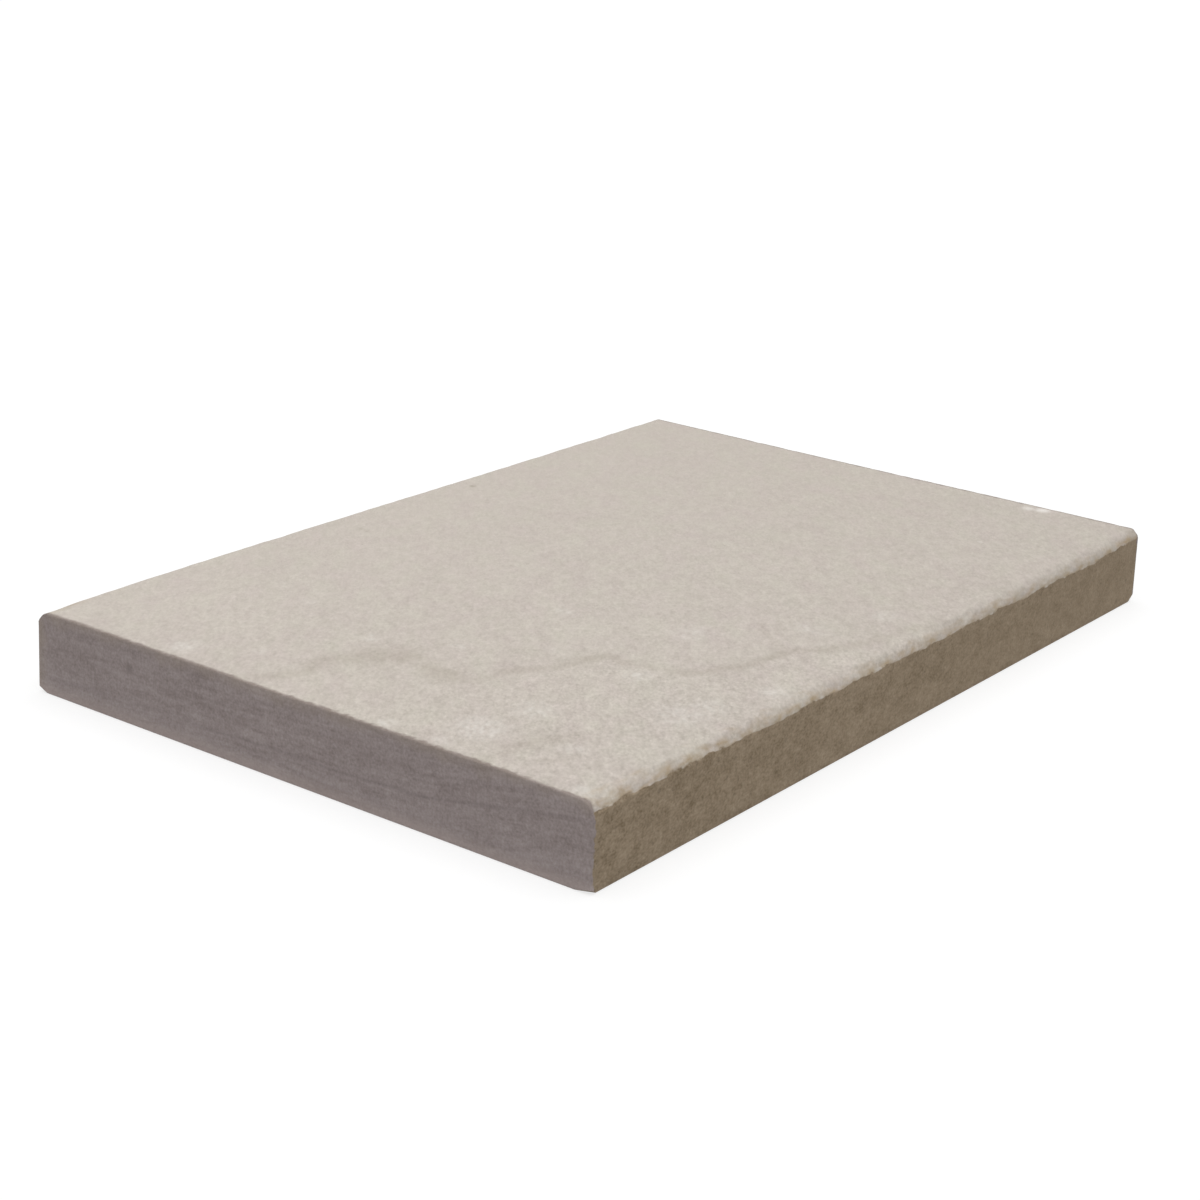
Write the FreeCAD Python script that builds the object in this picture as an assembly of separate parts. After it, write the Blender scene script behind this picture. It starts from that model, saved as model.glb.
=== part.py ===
"""Wall coping stone: one slab of sandstone with a riven top, sawn sides and ends, and a sawn bed.

Millimetres and degrees. X runs along the wall, Y across it and Z up. The origin is the middle of the bed
face, on which the stone lies.
"""
import FreeCAD
import Part

import math
import os

from FreeCAD import Vector

# Overall sizes of the finished stone
LENGTH = 600.0
WIDTH = 400.0
THICKNESS = 50.0

# Arrises: rolled over along the top of both long sides, eased along the bed, rubbed at the upright corners
TOP_ARRIS_RADIUS = 8.0
BED_ARRIS_RADIUS = 1.0
CORNER_RADIUS = 1.5

# The riven top: two trains of low swells, whose crests meet at the middle, at the full thickness
LONG_SWELL_DEPTH = 0.4
LONG_SWELL_PITCH = 520.0
LONG_SWELL_HEADING = 12.0
SHORT_SWELL_DEPTH = 0.3
SHORT_SWELL_PITCH = 270.0
SHORT_SWELL_HEADING = -58.0


def fall_from_crest(x, y, depth, pitch, heading):
    """How far one train of swells lies below its crests at a place on the top."""
    angle = math.radians(heading)
    travel = x * math.cos(angle) + y * math.sin(angle)
    return depth * (1 - math.cos(2 * math.pi * travel / pitch)) / 2


def riven_height(x, y):
    """Height of the split face over the bed."""
    long_fall = fall_from_crest(x, y, LONG_SWELL_DEPTH, LONG_SWELL_PITCH, LONG_SWELL_HEADING)
    short_fall = fall_from_crest(x, y, SHORT_SWELL_DEPTH, SHORT_SWELL_PITCH, SHORT_SWELL_HEADING)
    return THICKNESS - long_fall - short_fall


def stations(side, step):
    """Places along one side of the stone, both ways from its middle and on past its edges."""
    half_count = math.ceil(side / 2 / step) + 1
    return [i * step for i in range(-half_count, half_count + 1)]


def riven_face():
    """The face along which the stone splits, larger than the stone and fine enough for the shorter swells."""
    steps_per_swell = 6
    step = min(LONG_SWELL_PITCH, SHORT_SWELL_PITCH) / steps_per_swell
    grid = [
        [Vector(x, y, riven_height(x, y)) for y in stations(WIDTH, step)]
        for x in stations(LENGTH, step)
    ]
    surface = Part.BSplineSurface()
    surface.interpolate(grid)
    return surface.toShape()


def sawn_block():
    """A block as it leaves the saw, thick enough to be split into two stones."""
    return Part.makeBox(LENGTH, WIDTH, 2 * THICKNESS, Vector(-LENGTH / 2, -WIDTH / 2, 0))


def split_stone():
    """The lower half of the block, without what lies over the riven face."""
    upper_half = riven_face().extrude(Vector(0, 0, 2 * THICKNESS))
    return sawn_block().cut(upper_half)


def long_edges(shape, at_top):
    """The two edges that run along the stone at its top, or the two at its bed."""
    running_along = [edge for edge in shape.Edges if edge.BoundBox.XLength > LENGTH / 2]
    return [edge for edge in running_along if (edge.BoundBox.ZMin > THICKNESS / 2) == at_top]


def rubbed_outline():
    """The block with its upright corners rubbed round, which the stone keeps within."""
    block = sawn_block()
    uprights = [edge for edge in block.Edges if edge.BoundBox.ZLength > THICKNESS]
    return block.makeFillet(CORNER_RADIUS, uprights)


def coping_stone():
    stone = split_stone()
    stone = stone.makeFillet(TOP_ARRIS_RADIUS, long_edges(stone, at_top=True))
    stone = stone.makeFillet(BED_ARRIS_RADIUS, long_edges(stone, at_top=False))
    return stone.common(rubbed_outline()).Solids[0]


os.makedirs("parts", exist_ok=True)
stone = coping_stone()
stone.exportStep("parts/coping_stone.step")
print("valid", stone.isValid(), "faces", len(stone.Faces), "volume in mm3", round(stone.Volume))
print("box", stone.optimalBoundingBox(True, False))
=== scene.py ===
"""Looks of the wall coping stone: one slab of sandstone, riven on top and sawn elsewhere, on a white floor.

Metres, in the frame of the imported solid: X along the wall, Y across it, Z up from the bed face.
"""

import math

import bmesh
import bpy
from mathutils import Matrix, Vector, noise


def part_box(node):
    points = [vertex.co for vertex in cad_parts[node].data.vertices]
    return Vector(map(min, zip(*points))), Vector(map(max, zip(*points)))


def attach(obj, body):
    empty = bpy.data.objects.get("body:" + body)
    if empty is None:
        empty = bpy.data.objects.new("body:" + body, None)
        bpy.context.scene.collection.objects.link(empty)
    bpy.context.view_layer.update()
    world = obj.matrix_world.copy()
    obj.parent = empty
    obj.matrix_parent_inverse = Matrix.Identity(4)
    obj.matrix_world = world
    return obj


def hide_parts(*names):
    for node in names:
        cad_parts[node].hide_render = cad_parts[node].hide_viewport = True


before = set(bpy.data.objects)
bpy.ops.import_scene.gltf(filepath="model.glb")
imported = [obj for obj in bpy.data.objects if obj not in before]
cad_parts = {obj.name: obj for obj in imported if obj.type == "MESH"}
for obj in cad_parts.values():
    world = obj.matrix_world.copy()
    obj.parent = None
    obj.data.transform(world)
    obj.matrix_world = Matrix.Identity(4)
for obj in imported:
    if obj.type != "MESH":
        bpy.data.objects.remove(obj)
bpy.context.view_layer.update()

MM = 0.001

# The slab's own box, the arrises of its section, and the spacing of its points
LOW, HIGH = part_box("coping_stone")
TOP = HIGH.z
TOP_ARRIS = 8 * MM
BED_ARRIS = 1 * MM
END_ARRIS = 1 * MM
MESH_STEP = 2 * MM

# Room for rounding where points are picked by their place, and edges by their run
SLACK = 0.1 * MM
NEARLY_ALL = 0.999

# Low swells of the riven top, as on the solid: depth and pitch in mm, heading in degrees
SWELLS = ((0.4, 520, 12), (0.3, 270, -58))

# Small relief of the riven top, in mm: broad lumps, fine lumps and how much deeper those are on the
# bared bed, and nicks in the top edges of the ends with their reach
BROAD_LUMPS = 0.06
FINE_LUMPS = 0.03
BARED_DEEPER = 0.05
END_NICKS = 0.5
NICK_REACH = 3 * MM

# Seams on the riven top, point by point in mm: X, Y, half width, and strength from 0 to 1.
# The first is a low ledge round one corner, where a bed has come away on the seam's right-hand side.
LEDGE = (
    (-305, 45, 6, 0.4), (-293, 37, 6, 0.4), (-276, 24, 6, 0.6), (-268, 21, 8, 0.6),
    (-254, 24, 10, 0.6), (-245, 25, 12, 0.7), (-236, 18, 12, 0.7), (-226, 11, 18, 0.8),
    (-216, 1, 20, 0.85), (-214, -10, 12, 0.8), (-218, -24, 9, 0.7), (-220, -42, 12, 0.9),
    (-219, -54, 5, 0.3), (-208, -57, 5, 0.4), (-193, -58, 6, 0.7), (-182, -65, 6, 0.7),
    (-173, -73, 6, 0.4), (-160, -78, 6, 0.7), (-146, -80, 6, 1.0), (-137, -86, 6, 1.0),
    (-138, -96, 6, 0.8), (-137, -106, 6, 0.4), (-131, -116, 6, 0.4), (-128, -132, 5, 0.6),
    (-118, -139, 5, 0.7), (-91, -151, 5, 0.6), (-76, -153, 6, 0.9), (-54, -158, 5, 0.6),
    (-40, -172, 5, 0.8), (-10, -182, 5, 0.6), (20, -187, 5, 0.5), (60, -198, 5, 0.3),
)
SHORT_SEAM = ((-305, -58, 3, 0.3), (-285, -57, 3, 0.3), (-262, -55, 3, 0.1))
CORNER_SEAM = (
    (-305, -128, 6, 0.3), (-281, -128, 8, 0.5), (-263, -130, 8, 0.6), (-250, -136, 8, 0.5),
    (-235, -146, 6, 0.2),
)
NICK_SEAM = ((-277, -149, 3, 0.4), (-272, -157, 3, 0.6), (-258, -160, 3, 0.3))
SIDE_SEAM = ((-65, -156, 4, 0.5), (-48, -132, 4, 0.4), (-34, -118, 4, 0.4))
SEAMS = [
    [Vector(point) for point in seam]
    for seam in (LEDGE, SHORT_SEAM, CORNER_SEAM, NICK_SEAM, SIDE_SEAM)
]

# The bared bed, in mm past the ledge: how deep it lies in metres, over what run it drops, where its lumps
# set in and where they fade out. They also fade with Y, over a run and by a share.
LEDGE_DROP = 0.4 * MM
DROP_RUN = (-5, 5)
LUMPS_SET_IN = (-4, 8)
LUMPS_FADE = (60, 200)
FADE_ALONG_Y = (-90, 10)
FADE_SHARE = 0.6

# How far seams and patches waver, in mm, how many half widths a seam's shade reaches, how dark it is, and
# the range of lumps over which it comes up from nothing, so that it is patchy
SEAM_WANDER = 3
PATCH_WANDER = 2
SEAM_SPREAD = 1.3
SEAM_DARKNESS = 0.26
PATCHY_RANGE = (-1.2, 0.1)

# The sand lies along the current that laid it, which draws out every lump of the riven top
CURRENT_HEADING = 36.0
CURRENT_STRETCH = 1.7

# The worn top arrises: how far from a round towards a flat chamfer, their width as a share of the full
# one at low X, how much narrower they become and over what run, the wear of the far one against the near
# one's, and how much flakes are shrunk along the edge before they are drawn, so that they come out long
ARRIS_FLATNESS = 0.3
ARRIS_WIDTH = 0.86
ARRIS_NARROWING = 0.16
NARROWING_RUN = 120 * MM
FAR_WEAR = 0.5
FLAKE_SHRINK = 0.4

# Marks on the top, in mm: X, Y, radius, and strength from 0 to 1. The last two iron spots are broad and
# faint: a worn corner, and a dark patch on the ledge.
PALE_PATCHES = (
    (-285, 97, 15, 0.20), (-265, -100, 24, 0.24), (-227, -105, 18, 0.18), (-180, -166, 24, 0.18),
    (-160, -170, 18, 0.16), (-149, -115, 12, 0.18), (-204, 30, 8, 0.20), (-181, -16, 7, 0.12),
    (-95, -22, 8, 0.16), (-184, 98, 8, 0.16), (-292, -59, 9, 0.22), (-291, -96, 10, 0.18),
    (-292, -186, 11, 0.20), (-255, -152, 11, 0.16), (-118, -184, 14, 0.16), (-261, 60, 8, 0.12),
    (-150, -57, 8, 0.10), (-74, -98, 20, 0.12), (-20, -145, 16, 0.13), (30, -165, 14, 0.15),
)
WHITE_BRUISES = ((290, -123, 7, 0.5), (293, -132, 8, 0.75), (199, -135, 2.5, 0.4))
IRON_SPOTS = (
    (-60, 170, 3.5, 0.25), (-61, 164, 3.5, 0.25), (64, 181, 4, 0.45), (-109, -121, 3, 0.2),
    (294, -198, 14, 0.25), (-221, -42, 14, 0.14),
)

# What the points of the mesh keep for the finish: the bared bed, and the three kinds of marks
MARK_LAYERS = ("bared", "dark", "pale", "bruise")

# Hollows worn into the top at one end, in mm: X, Y, radius and depth
HOLLOWS = ((-300, -200, 70, 0.9), (-300, 120, 130, 0.6), (-300, 200, 50, 1.0))

# Bed corners broken off in handling: side of X and of Y, then how far along X, Y and Z in mm
BROKEN_CORNERS = ((-1, -1, 5, 12, 3), (-1, 1, 10, 8, 3.5), (1, -1, 8, 10, 5))

# Camera: a short telephoto view down on the corner between one end and one long side, which lies in the
# low part of its frame
CAMERA_PLACE = Vector((-1.2007, -0.8604, 0.5367))
CAMERA_HEADING = 36.559
CAMERA_DIP = 13.602
CAMERA_ROLL = 2.337
CAMERA_LENS = 75.16
CAMERA_SENSOR = 36.0
CAMERA_SHIFT = -0.1993

# Light: a broad overhead lamp and an even sky, which together light a level face at about 1
SKY_LIGHT = 0.35
LAMP_LIGHT = 0.65
LAMP_SPREAD = 85.0
WHITE = (1, 1, 1, 1)

# Floor: half its width, the gap that keeps it clear of the bed, the grey that it throws back at the
# stone, how white it looks, and how much of that takes the stone's shadow
FLOOR_REACH = 6
FLOOR_GAP = 0.2 * MM
FLOOR_BOUNCE = "#E6E6E6"
FLOOR_WHITENESS = 1.04
FLOOR_SHADOW_SHARE = 0.3


def linear(hex_colour):
    """A colour written as sRGB hex, as the linear RGBA that a shader takes."""
    channels = [int(hex_colour[i : i + 2], 16) / 255 for i in (1, 3, 5)]
    return [c / 12.92 if c <= 0.04045 else ((c + 0.055) / 1.055) ** 2.4 for c in channels] + [1]


def per(size_mm):
    """The scale of a pattern whose features are about this large."""
    return 1 / (size_mm * MM)


def smooth_step(low, high, value):
    """0 below low, 1 above high, and an even rise between."""
    share = min(max((value - low) / (high - low), 0), 1)
    return share * share * (3 - 2 * share)


def lumps(place, size_mm, seed):
    """Smooth noise from -1 to 1 whose lumps are about this large."""
    return noise.noise(place / (size_mm * MM) + Vector((seed, 7.3 * seed, 3.1 * seed)))


def add(tree, kind, inputs=None, **settings):
    """Adds a node. Its inputs, by name or number, take a value, a socket or a whole node's result."""
    node = tree.nodes.new(kind)
    for name, value in settings.items():
        setattr(node, name, value)
    for key, value in (inputs or {}).items():
        named = [s for s in node.inputs if s.enabled and s.name == key]
        socket = node.inputs[key] if isinstance(key, int) else named[0]
        if isinstance(value, bpy.types.Node):
            value = next(s for s in value.outputs if s.enabled)
        if isinstance(value, bpy.types.NodeSocket):
            tree.links.new(value, socket)
        else:
            socket.default_value = value
    return node


def new_tree(owner):
    """The empty node tree of a material or world."""
    owner.use_nodes = True
    owner.node_tree.nodes.clear()
    return owner.node_tree


# The slab's mesh


def edges_along(bm, axis, longer_than, wanted):
    """Edges that run along an axis, are longer than a length and whose middle is wanted."""
    chosen = []
    for edge in bm.edges:
        run = edge.verts[1].co - edge.verts[0].co
        middle = (edge.verts[0].co + edge.verts[1].co) / 2
        if run.length > longer_than and abs(run[axis]) > NEARLY_ALL * run.length and wanted(middle):
            chosen.append(edge)
    return chosen


def round_edges(bm, edges, radius, segments):
    bmesh.ops.bevel(
        bm, geom=edges, offset=radius, segments=segments, profile=0.5, affect="EDGES", material=-1
    )


def divide(bm, edges, length):
    bmesh.ops.subdivide_edges(bm, edges=edges, cuts=round(length / MESH_STEP) - 1, use_grid_fill=True)


def slab_mesh():
    """The slab with its arrises rounded, in small faces on its top and long sides."""
    size = HIGH - LOW
    bm = bmesh.new()
    bmesh.ops.create_cube(bm, size=1)
    bmesh.ops.scale(bm, vec=size, verts=bm.verts)
    bmesh.ops.translate(bm, vec=(LOW + HIGH) / 2, verts=bm.verts)
    half_height = TOP / 2
    round_edges(bm, edges_along(bm, 0, 0, lambda p: p.z > half_height), TOP_ARRIS, segments=8)
    round_edges(bm, edges_along(bm, 0, 0, lambda p: p.z < half_height), BED_ARRIS, segments=3)
    end_loops = [e for e in bm.edges if abs(e.verts[0].co.x - e.verts[1].co.x) < SLACK]
    round_edges(bm, end_loops, END_ARRIS, segments=3)
    divide(bm, edges_along(bm, 0, size.x / 2, lambda p: True), size.x)
    divide(bm, edges_along(bm, 1, size.y / 2, lambda p: p.z > half_height), size.y - 2 * TOP_ARRIS)
    divide(bm, edges_along(bm, 2, size.z / 2, lambda p: True), size.z - TOP_ARRIS - BED_ARRIS)
    return bm


def nearest_on_seam(point, seam):
    """Distance from a seam in mm, above 0 on its right, and its half width and strength there."""
    nearest = None
    for start, end in zip(seam, seam[1:]):
        run = end.xy - start.xy
        offset = point - start.xy
        share = min(max(offset.dot(run) / run.length_squared, 0), 1)
        gap = offset - share * run
        if nearest is None or gap.length < abs(nearest[0]):
            on_right = gap.dot(Vector((run.y, -run.x)))
            nearest = (math.copysign(gap.length, on_right), *start.zw.lerp(end.zw, share))
    return nearest


def mark_strength(point, marks):
    """The strongest of some round marks at a point in mm, each fading from its middle to its radius."""
    shows = [
        strength * (1 - smooth_step(0, radius, (point - Vector((x, y))).length))
        for x, y, radius, strength in marks
    ]
    return max(shows)


def swell_fall(place):
    """How far the swells of the riven top lie below their crests."""
    fall = 0
    for depth, pitch, heading in SWELLS:
        angle = math.radians(heading)
        travel = (place.x * math.cos(angle) + place.y * math.sin(angle)) / MM
        fall += depth * (1 - math.cos(2 * math.pi * travel / pitch)) / 2
    return fall * MM


def fine_fall(place, bared):
    """Depth of the small lumps and pits of the riven top, deeper on the bared bed."""
    broad = BROAD_LUMPS * (1 + lumps(place, 45, 2))
    fine = (FINE_LUMPS + BARED_DEEPER * bared) * (1 + lumps(place, 9, 3))
    to_end = HIGH.x - abs(place.x)
    nicks = END_NICKS * max(lumps(place, 6, 4) - 0.1, 0) * (1 - smooth_step(0, NICK_REACH, to_end))
    return (broad + fine + nicks) * MM


def arris_share(place):
    """Width of a rolled top arris as a share of its full one: spalled and flaked, wider near low X."""
    along = Vector((place.x, place.y, 0))
    drawn_out = Vector((FLAKE_SHRINK * place.x, place.y, place.z))
    trend = ARRIS_WIDTH - ARRIS_NARROWING * smooth_step(LOW.x, LOW.x + NARROWING_RUN, place.x)
    bites = 0.20 * abs(lumps(along, 26, 11)) + 0.12 * abs(lumps(along, 11, 12))
    flakes = 0.12 * lumps(drawn_out, 4, 13)
    wear = 1.0 if place.y < 0 else FAR_WEAR
    return trend + wear * (bites + flakes)


def worn_arris(place):
    """Where a point of the plain slab lies once its rolled top arris is worn flatter and flaked."""
    side = math.copysign(1, place.y)
    sharp_edge = Vector((place.x, side * HIGH.y, TOP))
    from_edge = place - sharp_edge
    if max(abs(from_edge.y), abs(from_edge.z)) >= TOP_ARRIS + SLACK:
        return place
    bulge = TOP_ARRIS - abs(from_edge.y) - abs(from_edge.z)
    flattened = from_edge - Vector((0, side, 1)) * ARRIS_FLATNESS * bulge / 2
    return sharp_edge + flattened * arris_share(place)


def weather(bm):
    """Moves the points of the plain slab inwards to the riven top and worn arrises, and keeps its marks."""
    layers = {name: bm.verts.layers.float.new(name) for name in MARK_LAYERS}
    for vert in bm.verts:
        place = vert.co.copy()
        vert.co = worn_arris(place)
        if place.z < TOP - TOP_ARRIS:
            vert.co.z -= swell_fall(place) * smooth_step(0, TOP, place.z)
            continue
        wander_x = lumps(place, 14, 5) + lumps(place, 6, 8)
        wander_y = lumps(place, 14, 6) + lumps(place, 6, 9)
        wander = Vector((wander_x, wander_y))
        point = place.xy / MM
        across = [nearest_on_seam(point + SEAM_WANDER * wander, seam) for seam in SEAMS]
        ledge = across[0][0]
        bared = smooth_step(*DROP_RUN, ledge)
        hollow = mark_strength(point, HOLLOWS) * MM
        vert.co.z -= swell_fall(place) + fine_fall(place, bared) + LEDGE_DROP * bared + hollow
        patchy = smooth_step(*PATCHY_RANGE, lumps(place, 22, 7) + 0.5 * lumps(place, 8, 15))
        seam_shade = max(
            strength * (1 - smooth_step(0, SEAM_SPREAD * width, abs(gap)))
            for gap, width, strength in across
        )
        near_corner = 1 - FADE_SHARE * smooth_step(*FADE_ALONG_Y, point.y)
        past_ledge = near_corner * smooth_step(*LUMPS_SET_IN, ledge)
        vert[layers["bared"]] = past_ledge * (1 - smooth_step(*LUMPS_FADE, ledge))
        # The seams and the spots darken the top towards olive
        vert[layers["dark"]] = max(SEAM_DARKNESS * seam_shade * patchy, mark_strength(point, IRON_SPOTS))
        vert[layers["pale"]] = mark_strength(point + PATCH_WANDER * wander, PALE_PATCHES)
        vert[layers["bruise"]] = mark_strength(point, WHITE_BRUISES)


def break_corners(bm):
    """Cuts the broken corners off the bed, each along one plane, and closes the cuts."""
    for side_x, side_y, along_x, along_y, along_z in BROKEN_CORNERS:
        start = Vector((side_x * (HIGH.x - along_x * MM), side_y * HIGH.y, 0))
        outwards = Vector((side_x / along_x, side_y / along_y, -1 / along_z)).normalized()
        everything = bm.verts[:] + bm.edges[:] + bm.faces[:]
        cut = bmesh.ops.bisect_plane(
            bm, geom=everything, plane_co=start, plane_no=outwards, clear_outer=True
        )
        rim = [part for part in cut["geom_cut"] if isinstance(part, bmesh.types.BMEdge)]
        bmesh.ops.edgeloop_fill(bm, edges=rim)


def coping_stone(material):
    bm = slab_mesh()
    weather(bm)
    break_corners(bm)
    bmesh.ops.recalc_face_normals(bm, faces=bm.faces)
    # Only four-sided faces are smoothed, so the ends and the breaks stay flat
    for face in bm.faces:
        face.smooth = len(face.verts) == 4
    mesh = bpy.data.meshes.new("sandstone_slab")
    bm.to_mesh(mesh)
    bm.free()
    mesh.materials.append(material)
    stone = bpy.data.objects.new("sandstone_slab", mesh)
    bpy.context.scene.collection.objects.link(stone)
    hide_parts("coping_stone")
    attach(stone, "root")


# Sandstone: quartz sand in a clay and iron cement, so matt, with a speckle of grains and soft clouds.
# Riven along a bed it is pale and lumpy. Sawn and weathered it is smoother and shows its beds, and it is
# darker there, partly in its own colour and partly as painted shade of faces turned from the overhead lamp.
# Its grains, about 0.3 mm, are too fine to show, so the finest speckle is drawn at 1.4 to 1.6 mm.

# Patterns: pairs of a size in mm and a weight
TOP_GRAINS = ((1.6, 0.34), (3, 0.26), (6, 0.18), (14, 0.10), (40, 0.08))
BARED_GRAINS = ((1.4, 0.36), (5, 0.13), (11, 0.09))
SIDE_GRAINS = ((1.4, 0.85), (3, 0.60), (8, 0.50), (20, 0.20))
END_GRAINS = ((1.5, 0.70), (3.5, 0.45), (9, 0.25), (40, 0.12))
END_STREAKS = ((2, 0.40), (5, 0.42))
GRIT = ((1.6, 1.0), (5, 1.0))

# Ragged lines: pairs of a size in mm and how far it moves the line
LAP_FLAKES = ((10, 5.5 * MM), (4, 3 * MM), (1.6, 1.8 * MM))
END_EDGE_NICKS = ((4, 5 * MM), (10, 3 * MM))
BED_WAVES = ((45, 4 * MM), (15, 1.5 * MM))
RIND_WAVES = ((12, 8 * MM), (30, 8 * MM))

# Single patterns, in mm: clouds of tint and crumbs of pale sand on the top, flecks on the long arris,
# specks on the long sides, and breaks in the dark lamina of the ends
TINT_SIZE = 14
CRUMB_SIZE = 3.5
FLECK_SIZE = 4
SPECK_SIZE = 4
BREAK_SIZE = 5

# The top's grain is stronger, so it looks rougher, towards low X and low Y, and painted light makes its
# tone lighter
# towards low X and high Y: how fast for each metre of X, Y and Z, and the value in the middle
ROUGHER_TOWARDS = (-0.9, -1.6, 0)
MIDDLE_ROUGHNESS = 1.08
PAINTED_LIGHT_TOWARDS = (-0.14, 0.14, 0)
MIDDLE_TONE = 0.485

# The beds on the ends: their dip along Y, how far they sweep up at low Y, how much streaks are shrunk
# along Y before they are drawn, the height of the dark lamina, and the place of one iron spot
BED_DIP = 0.033
BED_SWEEP = 14 * MM
STREAK_SHRINK = 0.1
LAMINA_HEIGHT = 16.7 * MM
SPOT_PLACE = (LOW.x, 124 * MM, 32.5 * MM)

# The mottle of the long sides is drawn out along the beds by this shrinking. Sawn faces are lighter over
# their lowest part as painted light thrown up by the floor, and the ends have a rind along their edges.
SIDE_SHRINK = 0.7
FLOOR_LIGHT_FADE = 25 * MM
# Also the height of the painted band of floor light along the ends' bed edge
RIND_AND_FLOOR_LIGHT_DEPTH = 8 * MM

# Edges between the finishes. The riven skin ends on the long sides in a blend of twice LAP_BLEND, and
# its crumbled tan edge, which also carries painted shade of the rolled arris, starts and is full this far
# in from them. The ends start and are full this far in from their plane, sooner on the top, where they
# are rubbed, and between its nicks that edge moves out by no more than NICK_LIMIT.
LAP_BLEND = 0.35 * MM
CRUMBLED_AND_SHADED_FROM = 12 * MM
CRUMBLED_AND_SHADED_FULL = 7 * MM
END_FROM = 1.6 * MM
END_FULL = 0.8 * MM
RUBBED_SOONER = 1.5 * MM
NICK_LIMIT = 0.4 * MM

# Colours of the riven top: its body from dark to light, its tints, its marks, and its crumbled edge with
# painted arris shade
RIVEN_DARK = "#A9A29A"
RIVEN_LIGHT = "#E2DAD4"
ROSE_TINT = "#FFF9FA"
GREEN_TINT = "#FBFEF5"
OLIVE_DARKENING = "#857B66"
PALE_SAND = "#F2EEE8"
BRUISE_WHITE = "#F6F2EC"
# Tan of the crumbled edge, which also paints shade on the rolled arris
CRUMBLED_TAN_AND_SHADE = "#A8916F"

# Colours of the long sides and of the ends: each body from dark to light, then its marks
# The sawn bodies are darker than the riven top partly as painted shade, for faces turned from the overhead
# lamp
SIDE_DARK = "#706049"
SIDE_LIGHT = "#A89781"
SPECK_BROWN = "#54483A"
END_DARK = "#766A67"
END_LIGHT = "#ABA09E"
LAMINA_GREY = "#5F5556"
SPOT_BROWN = "#4F4644"
RIND_BUFF = "#9C8F7F"
# Painted light: the lighter rose that light thrown up by the floor gives the ends along their bed edge
FLOOR_LIGHT_ROSE = "#BBABA6"


def sand_tone(tree, place, layers):
    """Tone about 0, from lumps of several sizes in mm, each with its weight."""
    tone = 0.0
    for size_mm, weight in layers:
        cloud = add(tree, "ShaderNodeTexNoise", {"Vector": place, "Scale": per(size_mm), "Detail": 1})
        centred = add(tree, "ShaderNodeMath", {0: cloud, 1: 0.5}, operation="SUBTRACT")
        tone = add(tree, "ShaderNodeMath", {0: centred, 1: weight, 2: tone}, operation="MULTIPLY_ADD")
    return tone


def riven_body(tree, place, current, bared):
    """Buff grey in faint clouds of rose and green, lumpier on the bared bed, with painted light towards low
    X and high Y.
    """
    grains = sand_tone(tree, current, TOP_GRAINS)
    slope = add(
        tree, "ShaderNodeVectorMath", {0: place, 1: ROUGHER_TOWARDS}, operation="DOT_PRODUCT"
    ).outputs["Value"]
    rougher = add(tree, "ShaderNodeMath", {0: slope, 1: MIDDLE_ROUGHNESS}, operation="ADD")
    speckle = add(tree, "ShaderNodeMath", {0: grains, 1: rougher}, operation="MULTIPLY")
    bared_grains = sand_tone(tree, current, BARED_GRAINS)
    lumpy = add(tree, "ShaderNodeMath", {0: bared_grains, 1: bared, 2: speckle}, operation="MULTIPLY_ADD")
    # Painted light: the top is lighter towards low X and high Y, as if the lamp stood nearer that corner
    painted_light = add(
        tree, "ShaderNodeVectorMath", {0: place, 1: PAINTED_LIGHT_TOWARDS}, operation="DOT_PRODUCT"
    ).outputs["Value"]
    # The lumps' tone with the painted light added
    weathered = add(tree, "ShaderNodeMath", {0: lumpy, 1: painted_light}, operation="ADD")
    tone = add(tree, "ShaderNodeMath", {0: weathered, 1: MIDDLE_TONE}, operation="ADD")
    body = add(
        tree, "ShaderNodeMix",
        {"Factor": tone, "A": linear(RIVEN_DARK), "B": linear(RIVEN_LIGHT)}, data_type="RGBA",
    )
    clouds = add(tree, "ShaderNodeTexNoise", {"Vector": current, "Scale": per(TINT_SIZE), "Detail": 3})
    tint = add(
        tree, "ShaderNodeMix",
        {"Factor": clouds, "A": linear(ROSE_TINT), "B": linear(GREEN_TINT)}, data_type="RGBA",
    )
    return add(
        tree, "ShaderNodeMix", {"Factor": 1.0, "A": body, "B": tint},
        data_type="RGBA", blend_type="MULTIPLY",
    )


def riven_colour(tree, place):
    """The riven top's body with its olive seams and spots, crumbly pale patches and white bruises."""
    bared, dark, pale, bruise = (
        add(tree, "ShaderNodeAttribute", attribute_name=name).outputs["Fac"] for name in MARK_LAYERS
    )
    heading = math.radians(CURRENT_HEADING)
    current = add(
        tree, "ShaderNodeMapping",
        {"Vector": place, "Rotation": (0, 0, heading), "Scale": (CURRENT_STRETCH, 1, 1)},
        vector_type="TEXTURE",
    )
    crumbs = add(tree, "ShaderNodeTexNoise", {"Vector": current, "Scale": per(CRUMB_SIZE), "Detail": 1})
    crumb_share = add(
        tree, "ShaderNodeMapRange",
        {"Value": crumbs, "From Min": 0.35, "From Max": 0.65, "To Min": 0.2, "To Max": 1.8},
    )
    crumbly = add(tree, "ShaderNodeMath", {0: pale, 1: crumb_share}, operation="MULTIPLY")
    colour = riven_body(tree, place, current, bared)
    for share, shown in ((dark, OLIVE_DARKENING), (crumbly, PALE_SAND), (bruise, BRUISE_WHITE)):
        colour = add(
            tree, "ShaderNodeMix", {"Factor": share, "A": colour, "B": linear(shown)}, data_type="RGBA"
        )
    return colour


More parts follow.
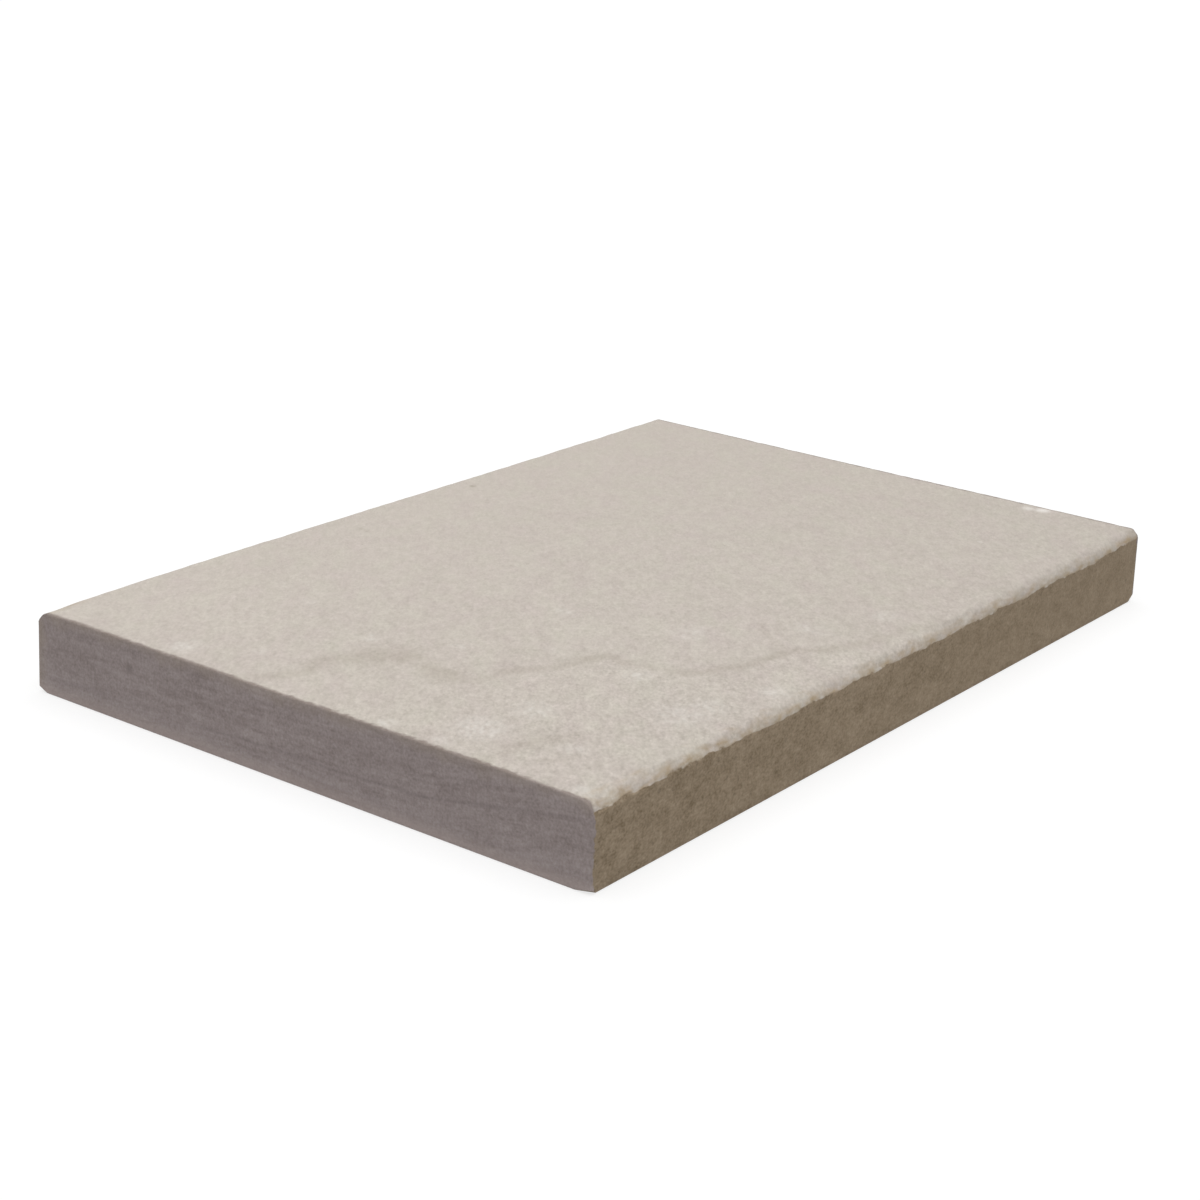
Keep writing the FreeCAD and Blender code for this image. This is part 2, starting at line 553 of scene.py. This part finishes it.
def side_colour(tree, place, axes):
    """Brown grey, with a mottle drawn out along the beds, stronger near low X, small dark specks, and
    painted floor light near the bed.
    """
    beds = add(tree, "ShaderNodeMapping", {"Vector": place, "Scale": (SIDE_SHRINK, SIDE_SHRINK, 1)})
    grain = sand_tone(tree, beds, SIDE_GRAINS)
    rougher = add(
        tree, "ShaderNodeMapRange",
        {"Value": axes.outputs["X"], "From Min": LOW.x, "From Max": HIGH.x, "To Min": 1.3, "To Max": 0.7},
    )
    mottle = add(tree, "ShaderNodeMath", {0: grain, 1: rougher}, operation="MULTIPLY")
    # Painted light: lighter towards the bed, for light thrown up by the floor
    painted_light = add(
        tree, "ShaderNodeMapRange",
        {"Value": axes.outputs["Z"], "From Min": 0.0, "From Max": FLOOR_LIGHT_FADE, "To Min": 0.72, "To Max": 0.5},
    )
    tone = add(tree, "ShaderNodeMath", {0: mottle, 1: painted_light}, operation="ADD")
    body = add(
        tree, "ShaderNodeMix",
        {"Factor": tone, "A": linear(SIDE_DARK), "B": linear(SIDE_LIGHT)}, data_type="RGBA",
    )
    specks = add(tree, "ShaderNodeTexNoise", {"Vector": place, "Scale": per(SPECK_SIZE), "Detail": 0})
    speck_share = add(
        tree, "ShaderNodeMapRange",
        {"Value": specks, "From Min": 0.72, "From Max": 0.80, "To Min": 0.0, "To Max": 0.25},
    )
    return add(
        tree, "ShaderNodeMix",
        {"Factor": speck_share, "A": body, "B": linear(SPECK_BROWN)}, data_type="RGBA",
    )


def bed_height(tree, place, axes):
    """Height in the stack of beds that an end cuts. They dip along Y, sweep up at low Y and waver."""
    sweep = add(
        tree, "ShaderNodeMapRange",
        {
            "Value": axes.outputs["Y"], "From Min": -80 * MM, "From Max": -200 * MM,
            "To Min": 0.0, "To Max": BED_SWEEP,
        },
        interpolation_type="SMOOTHSTEP",
    )
    levelled = add(
        tree, "ShaderNodeMath", {0: axes.outputs["Y"], 1: BED_DIP, 2: axes.outputs["Z"]},
        operation="MULTIPLY_ADD",
    )
    wavy = sand_tone(tree, place, BED_WAVES)
    height = add(tree, "ShaderNodeMath", {0: levelled, 1: sweep}, operation="SUBTRACT")
    return add(tree, "ShaderNodeMath", {0: height, 1: wavy}, operation="ADD")


def lamina_share(tree, height, beds):
    """How strongly the dark lamina of an end shows: a thin line in its beds, broken along its run."""
    above_lamina = add(tree, "ShaderNodeMath", {0: height, 1: LAMINA_HEIGHT}, operation="SUBTRACT")
    from_lamina = add(tree, "ShaderNodeMath", {0: above_lamina}, operation="ABSOLUTE")
    line = add(
        tree, "ShaderNodeMapRange",
        {"Value": from_lamina, "From Min": 0.3 * MM, "From Max": 2.0 * MM, "To Min": 0.25, "To Max": 0.0},
    )
    breaks = add(tree, "ShaderNodeTexNoise", {"Vector": beds, "Scale": per(BREAK_SIZE), "Detail": 1})
    unbroken = add(tree, "ShaderNodeMapRange", {"Value": breaks, "From Min": 0.35, "From Max": 0.6})
    return add(tree, "ShaderNodeMath", {0: line, 1: unbroken}, operation="MULTIPLY")


def rind_share(tree, place, axes):
    """How strongly the weathered rind of an end shows, in from the top and from the side at high Y."""
    below_top = add(tree, "ShaderNodeMath", {0: TOP, 1: axes.outputs["Z"]}, operation="SUBTRACT")
    from_side = add(tree, "ShaderNodeMath", {0: HIGH.y, 1: axes.outputs["Y"]}, operation="SUBTRACT")
    from_edge = add(tree, "ShaderNodeMath", {0: below_top, 1: from_side}, operation="MINIMUM")
    ragged = sand_tone(tree, place, RIND_WAVES)
    into_stone = add(tree, "ShaderNodeMath", {0: from_edge, 1: ragged}, operation="ADD")
    return add(
        tree, "ShaderNodeMapRange",
        {"Value": into_stone, "From Min": 0.0, "From Max": RIND_AND_FLOOR_LIGHT_DEPTH, "To Min": 0.40, "To Max": 0.0},
    )


def end_colour(tree, place, axes):
    """Mauve grey, sawn across the beds: streaks, a dark lamina, a spot, a buff rind, and painted floor
    light low down.
    """
    height = bed_height(tree, place, axes)
    drawn_out = add(tree, "ShaderNodeMath", {0: axes.outputs["Y"], 1: STREAK_SHRINK}, operation="MULTIPLY")
    beds = add(tree, "ShaderNodeCombineXYZ", {"X": axes.outputs["X"], "Y": drawn_out, "Z": height})
    speckle = sand_tone(tree, place, END_GRAINS)
    streaks = sand_tone(tree, beds, END_STREAKS)
    mottle = add(tree, "ShaderNodeMath", {0: speckle, 1: streaks}, operation="ADD")
    # Painted light: lighter towards the bed, for light thrown up by the floor
    painted_light = add(
        tree, "ShaderNodeMapRange",
        {"Value": axes.outputs["Z"], "From Min": 0.0, "From Max": FLOOR_LIGHT_FADE, "To Min": 0.75, "To Max": 0.5},
    )
    tone = add(tree, "ShaderNodeMath", {0: mottle, 1: painted_light}, operation="ADD")
    colour = add(
        tree, "ShaderNodeMix",
        {"Factor": tone, "A": linear(END_DARK), "B": linear(END_LIGHT)}, data_type="RGBA",
    )
    from_spot = add(
        tree, "ShaderNodeVectorMath", {0: place, 1: SPOT_PLACE}, operation="DISTANCE"
    ).outputs["Value"]
    spot = add(
        tree, "ShaderNodeMapRange",
        {"Value": from_spot, "From Min": 0.5 * MM, "From Max": 4 * MM, "To Min": 0.40, "To Max": 0.0},
    )
    # Painted light: a lighter rose band along the bed edge, for light thrown up by the floor
    floor_light_band = add(
        tree, "ShaderNodeMapRange",
        {
            "Value": axes.outputs["Z"], "From Min": 0.0, "From Max": RIND_AND_FLOOR_LIGHT_DEPTH,
            "To Min": 0.60, "To Max": 0.0,
        },
    )
    lamina = lamina_share(tree, height, beds)
    rind = rind_share(tree, place, axes)
    for share, shown in ((lamina, LAMINA_GREY), (spot, SPOT_BROWN), (rind, RIND_BUFF), (floor_light_band, FLOOR_LIGHT_ROSE)):
        colour = add(
            tree, "ShaderNodeMix", {"Factor": share, "A": colour, "B": linear(shown)}, data_type="RGBA"
        )
    return colour


def height_above_lap(tree, axes, flakes):
    """Height above the ragged line on the long sides that the riven skin laps down to over the arris.

    The line falls towards high X, and rises again a little at the far corner.
    """
    lap = add(
        tree, "ShaderNodeMapRange",
        {
            "Value": axes.outputs["X"], "From Min": -200 * MM, "From Max": 300 * MM,
            "To Min": 43.4 * MM, "To Max": 41.7 * MM,
        },
    )
    worn_back = add(
        tree, "ShaderNodeMapRange",
        {
            "Value": axes.outputs["X"], "From Min": 245 * MM, "From Max": 275 * MM,
            "To Min": 0.0, "To Max": 1.2 * MM,
        },
        interpolation_type="SMOOTHSTEP",
    )
    ragged = sand_tone(tree, flakes, LAP_FLAKES)
    line = add(tree, "ShaderNodeMath", {0: lap, 1: worn_back}, operation="ADD")
    line = add(tree, "ShaderNodeMath", {0: line, 1: ragged}, operation="ADD")
    return add(tree, "ShaderNodeMath", {0: axes.outputs["Z"], 1: line}, operation="SUBTRACT")


def crumbled_and_shaded_share(tree, axes, flakes, above_lap, on_top):
    """How strongly the crumbled tan edge, partly painted shade of the rolling arris, shows on the long
    arrises, highest at low X.
    """
    reach = add(
        tree, "ShaderNodeMapRange",
        {
            "Value": axes.outputs["X"], "From Min": LOW.x, "From Max": LOW.x + 70 * MM,
            "To Min": 8 * MM, "To Max": 5.5 * MM,
        },
    )
    # Painted shade as well as tan: this band darkens the rolled arris just above the lap line
    worn = add(
        tree, "ShaderNodeMapRange",
        {"Value": above_lap, "From Min": 0.0, "From Max": reach, "To Min": 0.50, "To Max": 0.0},
    )
    flecks = add(tree, "ShaderNodeTexNoise", {"Vector": flakes, "Scale": per(FLECK_SIZE), "Detail": 4})
    fleck_share = add(
        tree, "ShaderNodeMapRange",
        {"Value": flecks, "From Min": 0.35, "From Max": 0.65, "To Min": 0.1, "To Max": 1.7},
    )
    flecked = add(tree, "ShaderNodeMath", {0: worn, 1: fleck_share}, operation="MULTIPLY")
    to_side = add(tree, "ShaderNodeMath", {0: axes.outputs["Y"]}, operation="ABSOLUTE")
    on_arris = add(
        tree, "ShaderNodeMapRange",
        {"Value": to_side, "From Min": HIGH.y - CRUMBLED_AND_SHADED_FROM, "From Max": HIGH.y - CRUMBLED_AND_SHADED_FULL},
    )
    on_skin = add(tree, "ShaderNodeMath", {0: flecked, 1: on_top}, operation="MULTIPLY")
    return add(tree, "ShaderNodeMath", {0: on_skin, 1: on_arris}, operation="MULTIPLY")


def end_share(tree, place, axes, on_top):
    """1 on the sawn ends, 0 elsewhere. Its edge is nicked, less so at high Y, and rubbed soft on top."""
    nick_depth = sand_tone(tree, place, END_EDGE_NICKS)
    handled = add(
        tree, "ShaderNodeMapRange",
        {"Value": axes.outputs["Y"], "From Min": 0.0, "From Max": 60 * MM, "To Min": 1.0, "To Max": 0.4},
    )
    nick_depth = add(tree, "ShaderNodeMath", {0: nick_depth, 1: handled}, operation="MULTIPLY")
    nicked = add(tree, "ShaderNodeMath", {0: nick_depth, 1: -NICK_LIMIT}, operation="MAXIMUM")
    from_middle = add(tree, "ShaderNodeMath", {0: axes.outputs["X"]}, operation="ABSOLUTE")
    nicked_reach = add(tree, "ShaderNodeMath", {0: from_middle, 1: nicked}, operation="ADD")
    rubbed_from = add(
        tree, "ShaderNodeMath", {0: on_top, 1: -RUBBED_SOONER, 2: HIGH.x - END_FROM},
        operation="MULTIPLY_ADD",
    )
    return add(
        tree, "ShaderNodeMapRange",
        {"Value": nicked_reach, "From Min": rubbed_from, "From Max": HIGH.x - END_FULL},
    )


def sandstone():
    """The stone's one material: the riven skin with its crumbled edge and painted arris shade, the sawn
    long sides and the ends.
    """
    material = bpy.data.materials.new("riven_and_sawn_sandstone")
    tree = new_tree(material)
    place = add(tree, "ShaderNodeTexCoord").outputs["Object"]
    axes = add(tree, "ShaderNodeSeparateXYZ", {"Vector": place})
    flakes = add(tree, "ShaderNodeMapping", {"Vector": place, "Scale": (FLAKE_SHRINK, 1, 1)})
    above_lap = height_above_lap(tree, axes, flakes)
    on_top = add(
        tree, "ShaderNodeMapRange", {"Value": above_lap, "From Min": -LAP_BLEND, "From Max": LAP_BLEND}
    )
    colour = side_colour(tree, place, axes)
    for share, shown in (
        (on_top, riven_colour(tree, place)),
        (crumbled_and_shaded_share(tree, axes, flakes, above_lap, on_top), linear(CRUMBLED_TAN_AND_SHADE)),
        (end_share(tree, place, axes, on_top), end_colour(tree, place, axes)),
    ):
        colour = add(tree, "ShaderNodeMix", {"Factor": share, "A": colour, "B": shown}, data_type="RGBA")

    # Grit stands up by a fraction of a millimetre and scatters the light, so the stone has no shine
    grit = sand_tone(tree, place, GRIT)
    bump = add(tree, "ShaderNodeBump", {"Height": grit, "Distance": 0.5 * MM, "Strength": 0.6})
    rough = add(tree, "ShaderNodeMath", {0: grit, 1: 0.1, 2: 0.9}, operation="MULTIPLY_ADD")
    shader = add(
        tree, "ShaderNodeBsdfPrincipled",
        {"Base Color": colour, "Roughness": rough, "Normal": bump, "Specular IOR Level": 0.3},
    )
    add(tree, "ShaderNodeOutputMaterial", {"Surface": shader})
    return material


# The stage


def seen_directly(tree):
    """1 for the camera and for mirror-like rays, 0 for the light that bounces about."""
    path = add(tree, "ShaderNodeLightPath")
    mirrored = add(
        tree, "ShaderNodeMath",
        {0: path.outputs["Is Glossy Ray"], 1: path.outputs["Is Transmission Ray"]}, operation="MAXIMUM",
    )
    return add(tree, "ShaderNodeMath", {0: path.outputs["Is Camera Ray"], 1: mirrored}, operation="MAXIMUM")


def white_floor():
    """A matt white floor that glows for the camera, so that it stays white and keeps a faint shadow."""
    material = bpy.data.materials.new("white_studio_floor")
    tree = new_tree(material)
    bounce = add(tree, "ShaderNodeBsdfDiffuse", {"Color": linear(FLOOR_BOUNCE)})
    share = FLOOR_SHADOW_SHARE
    shaded = add(tree, "ShaderNodeBsdfDiffuse", {"Color": (share, share, share, 1)})
    glow = add(tree, "ShaderNodeEmission", {"Strength": FLOOR_WHITENESS - share})
    white = add(tree, "ShaderNodeAddShader", {0: shaded, 1: glow})
    mixed = add(tree, "ShaderNodeMixShader", {0: seen_directly(tree), 1: bounce, 2: white})
    add(tree, "ShaderNodeOutputMaterial", {"Surface": mixed})

    bm = bmesh.new()
    bmesh.ops.create_grid(bm, x_segments=1, y_segments=1, size=FLOOR_REACH)
    bmesh.ops.translate(bm, vec=(0, 0, -FLOOR_GAP), verts=bm.verts)
    mesh = bpy.data.meshes.new("floor")
    bm.to_mesh(mesh)
    bm.free()
    mesh.materials.append(material)
    floor = bpy.data.objects.new("floor", mesh)
    bpy.context.scene.collection.objects.link(floor)


def sky():
    world = bpy.data.worlds.new("even_sky")
    bpy.context.scene.world = world
    tree = new_tree(world)
    light = add(tree, "ShaderNodeBackground", {"Color": WHITE, "Strength": SKY_LIGHT})
    white = add(tree, "ShaderNodeBackground", {"Color": WHITE, "Strength": 1.0})
    mixed = add(tree, "ShaderNodeMixShader", {0: seen_directly(tree), 1: light, 2: white})
    add(tree, "ShaderNodeOutputWorld", {"Surface": mixed})


def lamp():
    data = bpy.data.lights.new("overhead_lamp", "SUN")
    data.energy = LAMP_LIGHT * math.pi
    data.angle = math.radians(LAMP_SPREAD)
    overhead = bpy.data.objects.new("overhead_lamp", data)
    bpy.context.scene.collection.objects.link(overhead)


def camera():
    data = bpy.data.cameras.new("camera")
    data.lens = CAMERA_LENS
    data.sensor_width = CAMERA_SENSOR
    data.shift_y = CAMERA_SHIFT
    eye = bpy.data.objects.new("camera", data)
    bpy.context.scene.collection.objects.link(eye)
    turn = Matrix.Rotation(math.radians(CAMERA_HEADING - 90), 4, "Z")
    dip = Matrix.Rotation(math.radians(90 - CAMERA_DIP), 4, "X")
    roll = Matrix.Rotation(math.radians(CAMERA_ROLL), 4, "Z")
    eye.matrix_world = Matrix.Translation(CAMERA_PLACE) @ turn @ dip @ roll
    bpy.context.scene.camera = eye


coping_stone(sandstone())
white_floor()
sky()
lamp()
camera()
bpy.context.scene.view_settings.view_transform = "Standard"
